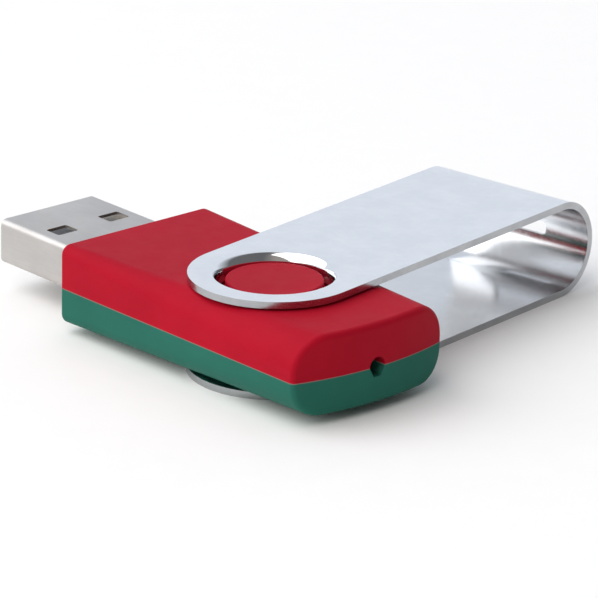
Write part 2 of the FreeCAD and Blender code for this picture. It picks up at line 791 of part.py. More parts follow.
def main():
    pieces = [
        make_shell("upper_shell", up=True),
        make_shell("lower_shell", up=False),
        make_cover(),
        make_plug_shell(),
        make_insulator(),
        *make_contacts(),
        make_board(),
        make_chip("flash_memory_chip", s.flash_middle, s.flash_length, s.flash_width, s.flash_thickness),
        make_chip("controller_chip", controller_middle, s.controller_side, s.controller_side,
                  s.controller_thickness, under=True),
        make_crystal(board_front - s.crystal_setback, -s.crystal_side),
        make_lamp(),
        *make_small_parts(),
        make_data_resistors(),
    ]
    check(pieces)
    os.makedirs("parts", exist_ok=True)
    for piece in pieces:
        piece.Shape.exportStep(f"parts/{piece.Label}.step")
        box = piece.Shape.BoundBox
        print(f"{piece.Label}: {len(piece.Shape.Solids)} solid(s), {piece.Shape.Volume:.1f} mm3, "
              f"x {box.XMin:.2f} {box.XMax:.2f} y {box.YMin:.2f} {box.YMax:.2f} "
              f"z {box.ZMin:.2f} {box.ZMax:.2f}")


main()
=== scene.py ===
"""Looks of the swivel-cover USB flash drive: materials, rebuilt inner parts, light and camera.

The scene is in metres, in the CAD model's frame: the origin on the swivel axis at the underside of
the cover, +X towards the plug's tip and +Z up. The pieces are drawn in millimetres, as are the
values named *_MM, and each piece is scaled to metres as it goes into the scene.
"""

import json
import math

import bmesh
import bpy
from mathutils import Matrix, Vector


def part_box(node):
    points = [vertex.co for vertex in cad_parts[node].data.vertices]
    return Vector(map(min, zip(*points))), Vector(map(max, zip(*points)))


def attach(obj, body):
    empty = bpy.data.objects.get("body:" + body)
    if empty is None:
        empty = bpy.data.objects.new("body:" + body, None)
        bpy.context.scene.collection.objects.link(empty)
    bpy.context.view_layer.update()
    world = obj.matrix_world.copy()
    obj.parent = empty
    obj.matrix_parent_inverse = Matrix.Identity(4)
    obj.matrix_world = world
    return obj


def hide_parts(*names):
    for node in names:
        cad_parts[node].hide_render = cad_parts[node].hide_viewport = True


MM = 0.001
MICRON = MM * MM

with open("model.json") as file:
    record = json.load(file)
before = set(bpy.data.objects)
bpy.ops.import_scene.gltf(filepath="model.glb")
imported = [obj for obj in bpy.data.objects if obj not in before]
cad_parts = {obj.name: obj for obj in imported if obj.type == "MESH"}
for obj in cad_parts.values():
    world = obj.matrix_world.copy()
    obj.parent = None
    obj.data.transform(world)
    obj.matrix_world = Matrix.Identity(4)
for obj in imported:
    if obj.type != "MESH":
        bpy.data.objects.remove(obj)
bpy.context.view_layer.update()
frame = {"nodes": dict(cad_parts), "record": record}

# --- Camera: where it stands about the object, and its lens ----------------------------------------

CAMERA_AZIMUTH_DEG = 138.30
CAMERA_ELEVATION_DEG = 19.89
CAMERA_ROLL_DEG = 1.04
CAMERA_DISTANCE_MM = 538.53
CAMERA_SIDE_MM = 2.465
CAMERA_RISE_MM = 6.685
CAMERA_LENS_MM = 340.45
SENSOR_MM = 36.0
CLIP_START_M = 0.05
CLIP_END_M = 20.0

# --- Node trees ------------------------------------------------------------------------------------

# Numbers of the Mix node's sockets, which share their names between data types.
MIX_SHARE = 0
MIX_FIRST = 6
MIX_SECOND = 7
MIX_RESULT = 2

# Size of a normal's upward part at which a face starts to count as level, and fully does.
STEEP_LIMIT = 0.6
LEVEL_LIMIT = 0.8


class Nodes:
    """A material's node tree, with short calls for the nodes used here."""

    def __init__(self, name):
        self.material = bpy.data.materials.new(name)
        self.material.use_nodes = True
        self.tree = self.material.node_tree
        self.shader = self.tree.nodes["Principled BSDF"]
        self.place = self.add("TexCoord").outputs["Object"]

    def add(self, kind, **settings):
        """A new shader node of one kind, with its settings."""
        node = self.tree.nodes.new(f"ShaderNode{kind}")
        for name, value in settings.items():
            setattr(node, name, value)
        return node

    def link(self, source, target):
        self.tree.links.new(source, target)

    def feed(self, value, target):
        """Gives a socket its value: another node's output, a colour or a number."""
        if isinstance(value, bpy.types.NodeSocket):
            self.link(value, target)
        elif isinstance(value, tuple):
            target.default_value = (*value, 1.0)
        else:
            target.default_value = value

    def set(self, **values):
        """Sets the shader's own sockets; underscores stand for spaces."""
        for name, value in values.items():
            self.shader.inputs[name.replace("_", " ")].default_value = value

    def stretched(self, scale):
        """The object's own coordinates, scaled per axis."""
        mapping = self.add("Mapping")
        mapping.inputs["Scale"].default_value = scale
        self.link(self.place, mapping.inputs["Vector"])
        return mapping.outputs["Vector"]

    def noise(self, cell_mm, detail=3.0, roughness=0.5, stretch=(1, 1, 1)):
        """Noise with features about cell_mm across, drawn out by stretch along each axis."""
        node = self.add("TexNoise")
        scale = [1 / (cell_mm * MM * part) for part in stretch]
        self.link(self.stretched(scale), node.inputs["Vector"])
        node.inputs["Scale"].default_value = 1.0
        node.inputs["Detail"].default_value = detail
        node.inputs["Roughness"].default_value = roughness
        return node.outputs["Fac"]

    def cells(self, cell_mm):
        """Distance to the nearest of many points scattered about cell_mm apart."""
        node = self.add("TexVoronoi")
        self.link(self.stretched([1 / (cell_mm * MM)] * 3), node.inputs["Vector"])
        node.inputs["Scale"].default_value = 1.0
        return node.outputs["Distance"]

    def spread(self, source, low=0.0, high=1.0, start=0.3, end=0.7):
        """Maps the run of source from start to end onto low to high."""
        node = self.add("MapRange")
        self.link(source, node.inputs["Value"])
        node.inputs["From Min"].default_value = start
        node.inputs["From Max"].default_value = end
        node.inputs["To Min"].default_value = low
        node.inputs["To Max"].default_value = high
        return node.outputs["Result"]

    def blend(self, share, first, second):
        """Mixes two colours by share, from the first at 0 to the second at 1."""
        node = self.add("Mix", data_type="RGBA")
        self.feed(share, node.inputs[MIX_SHARE])
        self.feed(first, node.inputs[MIX_FIRST])
        self.feed(second, node.inputs[MIX_SECOND])
        return node.outputs[MIX_RESULT]

    def maths(self, operation, *values):
        """The result of one Math node."""
        node = self.add("Math", operation=operation)
        for value, target in zip(values, node.inputs):
            self.feed(value, target)
        return node.outputs["Value"]

    def upward(self, vector):
        """The Z part of a vector."""
        parts = self.add("SeparateXYZ")
        self.link(vector, parts.inputs["Vector"])
        return parts.outputs["Z"]

    def near_height(self, height_mm, reach_mm):
        """0 within half of reach_mm of one height of the object, rising to 1 at reach_mm from it."""
        level = self.maths("SUBTRACT", self.upward(self.place), height_mm * MM)
        away = self.maths("ABSOLUTE", level)
        return self.spread(away, start=reach_mm * MM / 2, end=reach_mm * MM)

    def flatness(self):
        """0 on steep faces, rising to 1 on level ones."""
        normal = self.add("NewGeometry").outputs["Normal"]
        size = self.maths("ABSOLUTE", self.upward(normal))
        return self.spread(size, start=STEEP_LIMIT, end=LEVEL_LIMIT)

    def colour(self, source):
        self.link(source, self.shader.inputs["Base Color"])

    def roughness(self, source, low, high, start=0.3, end=0.7):
        self.link(self.spread(source, low, high, start, end), self.shader.inputs["Roughness"])

    def bump(self, *sources, height_um):
        """Raises the surface by up to height_um micrometres where the sources are high."""
        normal = None
        for source in sources:
            node = self.add("Bump")
            node.inputs["Strength"].default_value = 1.0
            node.inputs["Distance"].default_value = height_um * MICRON
            self.link(source, node.inputs["Height"])
            if normal:
                self.link(normal, node.inputs["Normal"])
            normal = node.outputs["Normal"]
        self.link(normal, self.shader.inputs["Normal"])


def shade(colour, factor):
    """A colour made darker or brighter by a factor."""
    return tuple(part * factor for part in colour)


# --- Materials -------------------------------------------------------------------------------------

RED = (0.41, 0.006, 0.020)
GREEN = (0.024, 0.142, 0.104)
DARK_GREY_PLASTIC = (0.10, 0.10, 0.105)
DARK_GREY_FIBRE = (0.16, 0.16, 0.165)
WHITE_PLASTIC = (0.88, 0.87, 0.84)
WHITE_FIBRE = (0.70, 0.69, 0.65)

# The parting line between the two shells.
SEAM_MM = 4.55
SEAM_LINE_MM = 0.055
SEAM_GREY = (0.24, 0.17, 0.14)


def moulded_plastic(name, colour):
    """Satin moulded plastic: spark-eroded grain, faint flow clouds and a little handling."""
    deep = shade(colour, 0.94)
    pale = shade(colour, 1.05)
    speck = shade(colour, 1.25)
    nodes = Nodes(name)
    clouds = nodes.noise(cell_mm=6.0, detail=2.0)
    grain = nodes.noise(cell_mm=0.12, detail=2.0)
    handling = nodes.noise(cell_mm=2.2, detail=5.0, roughness=0.65)
    toned = nodes.blend(nodes.spread(clouds), deep, pale)
    toned = nodes.blend(nodes.spread(grain, high=0.10), toned, speck)
    near_seam = nodes.near_height(SEAM_MM, SEAM_LINE_MM)
    off_seam = nodes.maths("MAXIMUM", near_seam, nodes.flatness())
    nodes.colour(nodes.blend(off_seam, SEAM_GREY, toned))
    nodes.roughness(handling, low=0.42, high=0.52)
    nodes.bump(grain, height_um=1.2)
    nodes.set(IOR=1.5, Specular_IOR_Level=0.04)
    nodes.set(Subsurface_Weight=0.04, Subsurface_Scale=0.5 * MM, Subsurface_Radius=(1.0, 0.4, 0.3))
    return nodes.material


def polished_steel(name, smoothest, roughest, waviness_um, painted_shade=1.0):
    """Polished strip: rolling waves, hairline scratches and faint finger marks, darkened as painted
    shade by the last factor.
    """
    # Both colours are scaled down by the factor: painted shade, not a duller finish.
    dim = shade((0.80, 0.815, 0.835), painted_shade)
    bright = shade((0.86, 0.87, 0.885), painted_shade)
    nodes = Nodes(name)
    waves = nodes.noise(cell_mm=9.0, detail=1.0)
    hairlines = nodes.noise(cell_mm=0.5, detail=2.0, stretch=(0.08, 1.6, 1.0))
    cross_lines = nodes.noise(cell_mm=0.6, detail=2.0, stretch=(1.5, 0.06, 1.0))
    marks = nodes.noise(cell_mm=3.5, detail=6.0, roughness=0.7)
    lines = nodes.maths("MULTIPLY", hairlines, cross_lines)
    wear = nodes.maths("MULTIPLY", marks, lines)
    nodes.colour(nodes.blend(nodes.spread(marks, start=0.4, end=0.65), dim, bright))
    nodes.roughness(wear, low=smoothest, high=roughest, start=0.05, end=0.25)
    nodes.bump(waves, lines, height_um=waviness_um)
    nodes.set(Metallic=1.0, Anisotropic=0.15)
    return nodes.material


def sheared_steel():
    """The strip's cut edge: greyer than its faces, with fine lines along the cut."""
    dim = (0.38, 0.39, 0.405)
    bright = (0.46, 0.47, 0.48)
    nodes = Nodes("sheared_steel")
    lines = nodes.noise(cell_mm=0.10, detail=3.0, stretch=(10.0, 10.0, 1.0))
    clouds = nodes.noise(cell_mm=2.0, detail=3.0)
    nodes.colour(nodes.blend(nodes.spread(clouds), dim, bright))
    nodes.roughness(lines, low=0.16, high=0.26)
    nodes.bump(lines, height_um=0.25)
    nodes.set(Metallic=1.0, Anisotropic=0.3)
    return nodes.material


def sleeve_steel():
    """Nickel-plated sleeve of the plug: fine lines along X and scuffs of use."""
    dim = (0.53, 0.51, 0.49)
    bright = (0.60, 0.575, 0.55)
    line_grey = (0.45, 0.43, 0.41)
    nodes = Nodes("plug_steel")
    lines = nodes.noise(cell_mm=0.16, detail=3.0, stretch=(14.0, 1.0, 1.0))
    scuffs = nodes.noise(cell_mm=1.4, detail=6.0, roughness=0.7, stretch=(2.5, 1.0, 1.0))
    clouds = nodes.noise(cell_mm=4.0, detail=2.0)
    base = nodes.blend(nodes.spread(clouds), dim, bright)
    nodes.colour(nodes.blend(nodes.spread(lines, high=0.25), base, line_grey))
    nodes.roughness(scuffs, low=0.40, high=0.52)
    nodes.bump(lines, scuffs, height_um=0.4)
    nodes.set(Metallic=1.0, Anisotropic=0.2)
    return nodes.material


def gold_plating():
    """Thin gold over nickel: slightly worn wipe marks along X."""
    gold = (0.90, 0.62, 0.24)
    worn = (0.78, 0.66, 0.46)
    nodes = Nodes("gold_contact")
    wipes = nodes.noise(cell_mm=0.2, detail=3.0, stretch=(8.0, 1.0, 1.0))
    wear = nodes.noise(cell_mm=0.9, detail=4.0)
    nodes.colour(nodes.blend(nodes.spread(wear, high=0.6, start=0.5, end=0.8), gold, worn))
    nodes.roughness(wipes, low=0.16, high=0.34)
    nodes.bump(wipes, height_um=0.6)
    nodes.set(Metallic=1.0)
    return nodes.material


def tin_plating():
    """Solder and tinned terminals: dull bright, with a crystalline skin."""
    dim = (0.66, 0.66, 0.65)
    bright = (0.80, 0.80, 0.79)
    nodes = Nodes("tinned_metal")
    crystals = nodes.cells(cell_mm=0.25)
    skin = nodes.noise(cell_mm=0.4, detail=4.0)
    nodes.colour(nodes.blend(nodes.spread(crystals), dim, bright))
    nodes.roughness(skin, low=0.25, high=0.45)
    nodes.bump(crystals, skin, height_um=2.0)
    nodes.set(Metallic=1.0)
    return nodes.material


def filled_plastic(name, plastic, fibre):
    """Glass-filled plastic: fibres just under the skin and a matte face."""
    deep = shade(plastic, 0.92)
    nodes = Nodes(name)
    fibres = nodes.noise(cell_mm=0.15, detail=2.0, stretch=(5.0, 1.0, 1.0))
    clouds = nodes.noise(cell_mm=2.5)
    toned = nodes.blend(nodes.spread(clouds), deep, plastic)
    nodes.colour(nodes.blend(nodes.spread(fibres, high=0.3), toned, fibre))
    nodes.roughness(fibres, low=0.42, high=0.60)
    nodes.bump(fibres, height_um=1.5)
    nodes.set(Subsurface_Weight=0.10, Subsurface_Scale=0.6 * MM)
    return nodes.material


def solder_mask():
    """Green lacquer over copper: the gaps of a brick pattern are paler, slightly raised tracks."""
    deep = (0.012, 0.115, 0.055)
    pale = (0.018, 0.150, 0.070)
    track_green = (0.055, 0.270, 0.130)
    nodes = Nodes("board_laminate")
    lanes = nodes.add("TexBrick", offset=0.35)
    lanes.inputs["Scale"].default_value = 1.0
    lanes.inputs["Mortar Size"].default_value = 0.12
    lanes.inputs["Mortar Smooth"].default_value = 0.2
    lanes.inputs["Brick Width"].default_value = 4.0
    lanes.inputs["Row Height"].default_value = 0.7
    nodes.link(nodes.stretched([1 / MM] * 3), lanes.inputs["Vector"])
    track = lanes.outputs["Fac"]
    weave = nodes.noise(cell_mm=0.3, detail=2.0)
    lacquer = nodes.blend(nodes.spread(weave), deep, pale)
    nodes.colour(nodes.blend(track, lacquer, track_green))
    nodes.roughness(weave, low=0.22, high=0.36)
    nodes.bump(track, weave, height_um=6.0)
    nodes.set(Coat_Weight=0.4, Coat_Roughness=0.15)
    return nodes.material


def chip_epoxy():
    """Black moulding compound: sandy matte face with fine silica specks."""
    deep = (0.018, 0.018, 0.020)
    pale = (0.034, 0.034, 0.037)
    silica = (0.10, 0.10, 0.105)
    nodes = Nodes("chip_plastic")
    sand = nodes.noise(cell_mm=0.08, detail=3.0)
    specks = nodes.cells(cell_mm=0.14)
    toned = nodes.blend(nodes.spread(sand), deep, pale)
    in_speck = nodes.spread(specks, low=0.5, high=0.0, start=0.0, end=0.16)
    nodes.colour(nodes.blend(in_speck, toned, silica))
    nodes.roughness(sand, low=0.50, high=0.70)
    nodes.bump(sand, height_um=3.0)
    return nodes.material


def crystal_can():
    """Drawn nickel-silver lid: faint draw lines and a soft sheen."""
    dim = (0.68, 0.66, 0.61)
    bright = (0.78, 0.765, 0.72)
    nodes = Nodes("can_metal")
    draw = nodes.noise(cell_mm=0.12, detail=2.0, stretch=(6.0, 1.0, 1.0))
    clouds = nodes.noise(cell_mm=1.5)
    nodes.colour(nodes.blend(nodes.spread(clouds), dim, bright))
    nodes.roughness(draw, low=0.20, high=0.34)
    nodes.bump(draw, height_um=0.8)
    nodes.set(Metallic=1.0, Anisotropic=0.3)
    return nodes.material


def lamp_resin():
    """Pale diffusing resin of the lamp, with a warm cast and small inclusions."""
    warm = (0.86, 0.80, 0.62)
    pale = (0.93, 0.90, 0.78)
    nodes = Nodes("lamp_plastic")
    haze = nodes.noise(cell_mm=0.3, detail=3.0)
    nodes.colour(nodes.blend(nodes.spread(haze), warm, pale))
    nodes.roughness(haze, low=0.12, high=0.24)
    nodes.bump(haze, height_um=0.8)
    nodes.set(Subsurface_Weight=0.3, Subsurface_Scale=0.4 * MM)
    nodes.set(Coat_Weight=0.5, Coat_Roughness=0.1)
    return nodes.material


def capacitor_body():
    """Fired ceramic, tan, with pinholes and darker patches."""
    dark_tan = (0.36, 0.235, 0.135)
    pale_tan = (0.48, 0.33, 0.20)
    nodes = Nodes("capacitor_ceramic")
    patches = nodes.noise(cell_mm=0.5, detail=4.0)
    holes = nodes.cells(cell_mm=0.12)
    nodes.colour(nodes.blend(nodes.spread(patches), dark_tan, pale_tan))
    nodes.roughness(patches, low=0.32, high=0.48)
    nodes.bump(holes, height_um=2.0)
    return nodes.material


def resistor_body():
    """Dark glass coat over alumina, glossy on top with a pebbled skin."""
    deep = (0.022, 0.024, 0.028)
    pale = (0.050, 0.052, 0.060)
    nodes = Nodes("resistor_ceramic")
    pebbles = nodes.noise(cell_mm=0.1, detail=3.0)
    nodes.colour(nodes.blend(nodes.spread(pebbles), deep, pale))
    nodes.roughness(pebbles, low=0.22, high=0.40)
    nodes.bump(pebbles, height_um=1.5)
    nodes.set(Coat_Weight=0.3, Coat_Roughness=0.2)
    return nodes.material


MATERIALS = {
    "red_plastic": moulded_plastic("red_plastic", RED),
    "green_plastic": moulded_plastic("green_plastic", GREEN),
    "polished_steel": polished_steel("polished_steel", smoothest=0.045, roughest=0.13, waviness_um=0.35),
    # The inside faces: rougher and wavier, and darker by the factor, which is painted shade for the
    # inside of the bend.
    "polished_steel_inside": polished_steel("polished_steel_inside", smoothest=0.14, roughest=0.28,
                                            waviness_um=2.5, painted_shade=0.82),
    "sheared_steel": sheared_steel(),
    "plug_steel": sleeve_steel(),
    "gold_contact": gold_plating(),
    "tinned_metal": tin_plating(),
    "insulator_plastic": filled_plastic("insulator_plastic", DARK_GREY_PLASTIC, DARK_GREY_FIBRE),
    "white_plastic": filled_plastic("white_plastic", WHITE_PLASTIC, WHITE_FIBRE),
    "board_laminate": solder_mask(),
    "chip_plastic": chip_epoxy(),
    "can_metal": crystal_can(),
    "lamp_plastic": lamp_resin(),
    "capacitor_ceramic": capacitor_body(),
    "resistor_ceramic": resistor_body(),
}


def dress_cad_nodes():
    """Gives each CAD node the material of its slot in the record."""
    for part in frame["record"]["subparts"]:
        node = frame["nodes"][part["node"]]
        node.data.materials.clear()
        node.data.materials.append(MATERIALS[part["material_slot"]])


# --- Building pieces -------------------------------------------------------------------------------

SHARP_ANGLE_DEG = 35.0


def box_mm(node):
    """Lowest and highest corner of a CAD node."""
    low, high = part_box(node)
    return low / MM, high / MM


def long_axis(size):
    """0 where a size is longer along X, 1 where it is longer along Y."""
    return 0 if size.x > size.y else 1


class Piece:
    """Forms gathered into one mesh, in millimetres, that stands for a CAD node."""

    def __init__(self, node, slot):
        self.node = node
        self.slot = slot
        self.low, self.high = box_mm(node)
        self.middle = (self.low + self.high) / 2
        self.mesh = bmesh.new()
        self.painted = self.mesh.faces.layers.int.new("painted")
        self.materials = []

    def paint(self, material):
        """Gives the faces made since the last call their material."""
        if material not in self.materials:
            self.materials.append(material)
        for face in self.mesh.faces:
            if not face[self.painted]:
                face[self.painted] = 1
                face.material_index = self.materials.index(material)

    def soften(self, verts, material, edge):
        """Rounds every edge of a new form by edge, then paints it."""
        edges = list({line for vert in verts for line in vert.link_edges})
        bmesh.ops.bevel(self.mesh, geom=edges, offset=edge, segments=2, profile=0.5, affect="EDGES")
        self.paint(material)

    def block(self, low, high, material, edge):
        """A box between two corners."""
        size = Vector(high) - Vector(low)
        place = Matrix.Translation((Vector(high) + Vector(low)) / 2) @ Matrix.Diagonal((*size, 1))
        verts = bmesh.ops.create_cube(self.mesh, size=1.0, matrix=place)["verts"]
        self.soften(verts, material, edge)

    def prism(self, outline, depth, axes, material, edge):
        """An outline in the first two of the axes, drawn out by depth along the third."""
        near_end = [self.mesh.verts.new(axes @ Vector((u, v, 0))) for u, v in outline]
        far_end = [self.mesh.verts.new(axes @ Vector((u, v, depth))) for u, v in outline]
        faces = [self.mesh.faces.new(near_end), self.mesh.faces.new(far_end)]
        for index, start in enumerate(near_end):
            following = (index + 1) % len(near_end)
            side = (start, near_end[following], far_end[following], far_end[index])
            faces.append(self.mesh.faces.new(side))
        bmesh.ops.recalc_face_normals(self.mesh, faces=faces)
        self.soften(near_end + far_end, material, edge)

    def disc(self, place, radius, height, material, sides=20):
        """An upright disc that stands on place."""
        ring = [2 * math.pi * step / sides for step in range(sides)]
        outline = [(radius * math.cos(turn), radius * math.sin(turn)) for turn in ring]
        self.prism(outline, height, Matrix.Translation(place), material, edge=height / 4)

    def finish(self):
        """Puts the mesh in the scene in place of its CAD node."""
        mesh = bpy.data.meshes.new(f"{self.node}_detail")
        self.mesh.transform(Matrix.Scale(MM, 4))
        self.mesh.to_mesh(mesh)
        self.mesh.free()
        for material in self.materials:
            mesh.materials.append(MATERIALS[material])
        mesh.shade_smooth()
        mesh.set_sharp_from_angle(angle=math.radians(SHARP_ANGLE_DEG))
        piece = bpy.data.objects.new(f"{self.node}_detail", mesh)
        bpy.context.scene.collection.objects.link(piece)
        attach(piece, "drive")
        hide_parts(self.node)


# --- Chips -----------------------------------------------------------------------------------------

CHIP_STANDOFF_MM = 0.10  # gap between a chip's body and the board
CHIP_DRAFT_MM = 0.05
CHIP_SEAM_MM = 0.06
CHIP_MARK_RADIUS_MM = 0.3
CHIP_MARK_INSET_MM = 0.7
CHIP_MARK_DEPTH_MM = 0.01


def on_side(place, outward, flip):
    """Axes at place: the first outward, the second up (down where flip is -1), the third across."""
    up = Vector((0, 0, flip))
    across = outward.cross(up)
    turn = Matrix((outward, up, across)).transposed().to_4x4()
    return Matrix.Translation(place) @ turn


def lead_outline(reach, height):
    """A gull-wing lead from its side: out of the body, down, and flat along the board."""
    thickness = height * 0.20
    root = reach * -0.10
    upper_bend, lower_bend = reach * 0.30, reach * 0.56
    inner_upper_bend, inner_lower_bend = reach * 0.18, reach * 0.42
    return [
        (root, height), (upper_bend, height), (lower_bend, thickness), (reach, thickness),
        (reach, 0.0), (inner_lower_bend, 0.0), (inner_upper_bend, height - thickness),
        (root, height - thickness),
    ]


def lead_row(piece, body, side, count, width, outline, foot, flip):
    """A row of leads along one side of a chip's body.

    side is the axis that the side faces along, and 1 or -1 for its high or its low end. foot is the
    height of the board's face.
    """
    low, high = body
    axis, sign = side
    across = 1 - axis
    span = high[across] - low[across] - width
    outward = Vector((0, 0, 0))
    outward[axis] = sign
    for number in range(count):
        place = Vector((0, 0, foot))
        place[axis] = high[axis] if sign > 0 else low[axis]
        place[across] = piece.middle[across] + span * ((number + 0.5) / count - 0.5)
        axes = on_side(place, outward, flip) @ Matrix.Translation((0, 0, -width / 2))
        piece.prism(outline, width, axes, "tinned_metal", edge=0.015)


def make_chip(node, x_leads, y_leads, width, reach, under=False):
    """A moulded chip: a body with a parting line, its leads and a printed mark by the first one.

    x_leads and y_leads count the leads on each of the two sides that face along that axis. under
    says that the chip hangs from the board's underside.
    """
    piece = Piece(node, "chip_plastic")
    foot, face, flip = piece.low.z, piece.high.z, 1
    if under:
        foot, face, flip = piece.high.z, piece.low.z, -1
    inset = Vector((reach if x_leads else 0.0, reach if y_leads else 0.0, 0.0))
    low, high = piece.low + inset, piece.high - inset
    near_board = foot + CHIP_STANDOFF_MM * flip
    seam = (foot + face) / 2
    for half in ((near_board, seam), (seam, face)):
        piece.block((low.x + CHIP_DRAFT_MM, low.y + CHIP_DRAFT_MM, min(half)),
                    (high.x - CHIP_DRAFT_MM, high.y - CHIP_DRAFT_MM, max(half)),
                    "chip_plastic", edge=0.05)
    piece.block((low.x, low.y, seam - CHIP_SEAM_MM / 2), (high.x, high.y, seam + CHIP_SEAM_MM / 2),
                "chip_plastic", edge=0.02)
    outline = lead_outline(reach, abs(seam - foot))
    for sign in (1, -1):
        for axis, count in enumerate((x_leads, y_leads)):
            lead_row(piece, (low, high), (axis, sign), count, width, outline, foot, flip)
    mark_z = face if under else face - CHIP_MARK_DEPTH_MM
    mark = (low.x + CHIP_MARK_INSET_MM, low.y + CHIP_MARK_INSET_MM, mark_z)
    piece.disc(mark, CHIP_MARK_RADIUS_MM, CHIP_MARK_DEPTH_MM, "white_plastic")
    piece.finish()


# --- Small parts on the board ----------------------------------------------------------------------

CAPACITORS = ("input_capacitor", "core_capacitor", "memory_capacitor")
RESISTORS = ("pull_up_resistor", "lamp_resistor", "memory_resistor")
DATA_RESISTOR_WIDTH_MM = 0.5


def make_terminal_part(node, slot, parts):
    """Ceramic parts with a tinned cap on each end; parts lists their lowest and highest corners."""
    piece = Piece(node, slot)
    cap_share, shoulder = 0.22, 0.03
    for low, high in parts:
        size = high - low
        axis = long_axis(size)
        cap = size[axis] * cap_share
        inset = Vector((shoulder, shoulder, shoulder))
        inset[axis] = cap / 2
        piece.block(low + inset, high - inset, slot, edge=0.03)
        for start in (low[axis], high[axis] - cap):
            cap_low, cap_high = low.copy(), high.copy()
            cap_low[axis] = start
            cap_high[axis] = start + cap
            piece.block(cap_low, cap_high, "tinned_metal", edge=0.06)
    piece.finish()


def make_small_parts():
    """The capacitors, the single resistors and the pair of resistors in the data lines."""
    for node in CAPACITORS:
        make_terminal_part(node, "capacitor_ceramic", [box_mm(node)])
    for node in RESISTORS:
        make_terminal_part(node, "resistor_ceramic", [box_mm(node)])
    low, high = box_mm("data_resistors")
    first_high = Vector((high.x, low.y + DATA_RESISTOR_WIDTH_MM, high.z))
    second_low = Vector((low.x, high.y - DATA_RESISTOR_WIDTH_MM, low.z))
    make_terminal_part("data_resistors", "resistor_ceramic", [(low, first_high), (second_low, high)])


def make_crystal():
    """The clock crystal: ceramic base, welded flange, drawn metal lid and a pad at each corner."""
    piece = Piece("clock_crystal", "can_metal")
    low, high = piece.low, piece.high
    base_height, flange_height, flange_inset, lid_inset = 0.3, 0.06, 0.10, 0.20
    pad, pad_sink, pad_height = 0.7, 0.01, 0.08
    base_top = low.z + base_height
    piece.block(low, (high.x, high.y, base_top), "resistor_ceramic", edge=0.05)
    piece.block((low.x + flange_inset, low.y + flange_inset, base_top),
                (high.x - flange_inset, high.y - flange_inset, base_top + flange_height),
                "gold_contact", edge=0.02)
    piece.block((low.x + lid_inset, low.y + lid_inset, base_top),
                (high.x - lid_inset, high.y - lid_inset, high.z), "can_metal", edge=0.14)
    for x in (low.x, high.x - pad):
        for y in (low.y, high.y - pad):
            piece.block((x, y, low.z - pad_sink), (x + pad, y + pad, low.z + pad_height),
                        "gold_contact", edge=0.01)
    piece.finish()


def make_lamp():
    """The lamp: white housing, domed lens and a plated terminal at each end."""
    piece = Piece("indicator_lamp", "lamp_plastic")
    low, high, middle = piece.low, piece.high, piece.middle
    housing_height, housing_step, lens_radius = 0.45, 0.04, 0.42
    terminal, terminal_drop = 0.3, 0.1
    inset = Vector((housing_step, terminal / 2, housing_step))
    roof = low.z + housing_height
    piece.block(low + inset, (high.x - inset.x, high.y - inset.y, roof), "white_plastic", edge=0.04)
    for start in (low.y, high.y - terminal):
        piece.block((low.x, start, low.z), (high.x, start + terminal, roof - terminal_drop),
                    "gold_contact", edge=0.03)
    squash = Matrix.Diagonal((lens_radius, lens_radius, high.z - roof, 1))
    place = Matrix.Translation((middle.x, middle.y, roof))
    bmesh.ops.create_uvsphere(piece.mesh, u_segments=28, v_segments=14, radius=1.0,
                              matrix=place @ squash)
    piece.paint("lamp_plastic")
    piece.finish()


# --- Contacts and board ----------------------------------------------------------------------------

CONTACTS = ("power_contact", "data_minus_contact", "data_plus_contact", "ground_contact")


def make_contact(node):
    """A blade: a tail in solder, a barbed root, an even run and a narrowed tip."""
    piece = Piece(node, "gold_contact")
    low, high, middle = piece.low, piece.high, piece.middle
    barb = (high.y - low.y) / 2
    tail, neck, run = barb * 0.70, barb * 0.80, barb * 0.94
    tail_end, tip_shoulder, tip_end = tail * 0.80, run * 0.85, run * 0.55
    # Each point is a distance, from the tail's end or back from the tip's, and the half width there.
    root = [(0.0, tail_end), (0.2, tail), (1.6, tail), (1.75, neck), (2.1, neck), (2.4, barb),
            (3.0, barb), (3.1, run)]
    tip = [(0.7, run), (0.25, tip_shoulder), (0.0, tip_end)]
    half_plan = [(low.x + away, y) for away, y in root] + [(high.x - away, y) for away, y in tip]
    outline = [(x, middle.y + y) for x, y in half_plan]
    outline += [(x, middle.y - y) for x, y in reversed(half_plan)]
    piece.prism(outline, high.z - low.z, Matrix.Translation((0, 0, low.z)), "gold_contact", edge=0.05)
    solder_start, solder_end, solder_sink, solder_rise = 0.15, 1.2, 0.01, 0.14
    solder_half = tail * 1.15
    piece.block((low.x + solder_start, middle.y - solder_half, low.z - solder_sink),
                (low.x + solder_end, middle.y + solder_half, low.z + solder_rise),
                "tinned_metal", edge=0.06)
    piece.finish()


def pad_places():
    """Middle, length and width of every soldering pad, read from the parts that stand on the board."""
    offset_share, length_share, width_share = 0.45, 0.4, 1.15
    pads = []
    for node in (*CAPACITORS, *RESISTORS, "indicator_lamp"):
        low, high = box_mm(node)
        middle, size = (low + high) / 2, high - low
        axis = long_axis(size)
        pad = size * width_share
        pad[axis] = size[axis] * length_share
        for sign in (1, -1):
            place = middle.copy()
            place[axis] += sign * size[axis] * offset_share
            pads.append((place.x, place.y, pad.x, pad.y))
    return pads


def board_pad(piece, low_x, low_y, high_x, high_y):
    """A tinned pad, let into the board's upper face and standing a little above it."""
    sink, rise = 0.03, 0.015
    piece.block((low_x, low_y, piece.high.z - sink), (high_x, high_y, piece.high.z + rise),
                "tinned_metal", edge=0.01)


def board_holes(piece):
    """Two rows of small plated holes, each a ring of gold on both faces."""
    count, start, pitch, row, radius, height = 7, 4.0, 2.6, 6.4, 0.22, 0.02
    for column in range(count):
        for y in (-row, row):
            for face in (piece.high.z, piece.low.z):
                place = (piece.low.x + start + column * pitch, y, face - height / 2)
                piece.disc(place, radius, height, "gold_contact", sides=14)


